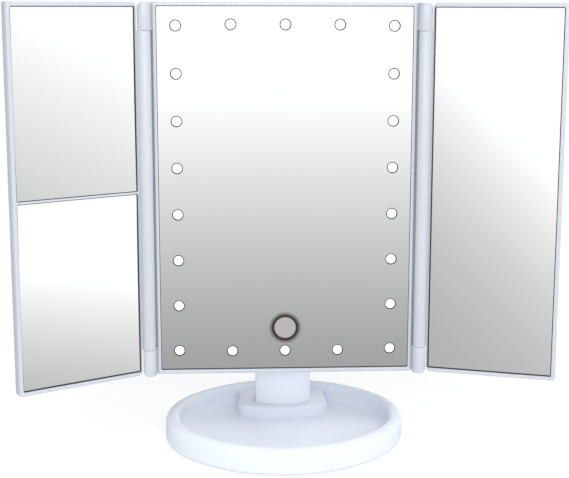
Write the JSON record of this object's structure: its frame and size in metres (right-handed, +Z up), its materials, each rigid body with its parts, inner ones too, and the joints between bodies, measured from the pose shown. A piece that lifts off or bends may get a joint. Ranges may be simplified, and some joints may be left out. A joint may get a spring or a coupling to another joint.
{
  "type": "trifold vanity mirror",
  "caption": "Trifold table mirror: lit centre panel, two folding wings, one with magnifying mirrors, tilting on an oval tray stand.",
  "frame": {"origin": "middle of the stand's footprint on the table", "axes": "+Z up, the mirror faces -Y, +X to the viewer's right"},
  "size_m": [0.3367, 0.118, 0.287],
  "materials": {
    "white_plastic": "moulded cool white plastic, semi-gloss",
    "shade_plastic": "moulded white plastic, matt",
    "black_foam": "closed cell foam",
    "black_plastic": "moulded black plastic, matt",
    "steel": "plated steel",
    "mirror_glass": "silvered float glass",
    "lamp_lens": "frosted white diffuser",
    "circuit_board": "solder mask",
    "led": "light emitting diode with yellow phosphor",
    "copper": "copper sensing pad",
    "cell_sleeve": "printed metal can of a round cell, bare of any print"
  },
  "bodies": {
    "stand": {"base_tray": "white_plastic", "base_plate": "shade_plastic", "base_pad": "black_foam", "base_screws": "steel", "neck_front": "white_plastic", "neck_back": "white_plastic", "neck_screws": "steel"},
    "head": {"front_housing": "white_plastic", "rear_cover": "white_plastic", "cover_screws": "steel", "centre_mirror": "mirror_glass", "centre_tape": "black_foam", "lamp_lenses": "lamp_lens", "lamp_gaskets": "black_plastic", "lamp_board_left": "circuit_board", "lamp_board_right": "circuit_board", "lamp_board_top": "circuit_board", "lamp_board_bottom": "circuit_board", "lamp_leds": "led", "touch_sensor": "copper", "control_board": "circuit_board", "usb_socket": "steel", "battery_cells": "cell_sleeve", "battery_contacts": "steel", "tilt_axle": "steel", "tilt_washers": "steel", "left_hinge_pins": "steel", "right_hinge_pins": "steel"},
    "left_wing": {"left_wing_frame": "white_plastic", "left_wing_back": "white_plastic", "left_upper_mirror": "mirror_glass", "left_lower_mirror": "mirror_glass", "left_wing_tape": "black_foam"},
    "right_wing": {"right_wing_frame": "white_plastic", "right_wing_back": "white_plastic", "right_mirror": "mirror_glass", "right_wing_tape": "black_foam"},
    "battery_door": {"battery_door": "white_plastic"}
  },
  "joints": [
    {"name": "head_tilt", "type": "hinge", "parent": "stand", "child": "head", "pos_m": [0, 0.0191, 0.073], "axis": [-1, 0, 0], "range_deg": [-10, 85]},
    {"name": "left_wing_hinge", "type": "hinge", "parent": "head", "child": "left_wing", "pos_m": [-0.0864, -0.00028, 0.16705], "axis": [0, 0.0872, 0.9962], "range_deg": [-30, 150]},
    {"name": "right_wing_hinge", "type": "hinge", "parent": "head", "child": "right_wing", "pos_m": [0.0864, -0.00028, 0.16705], "axis": [0, -0.0872, -0.9962], "range_deg": [-17.5, 162.5]},
    {"name": "battery_door_slide", "type": "slide", "parent": "head", "child": "battery_door", "axis": [0, 0.0872, 0.9962], "range_m": [0, 0.062]}
  ]
}
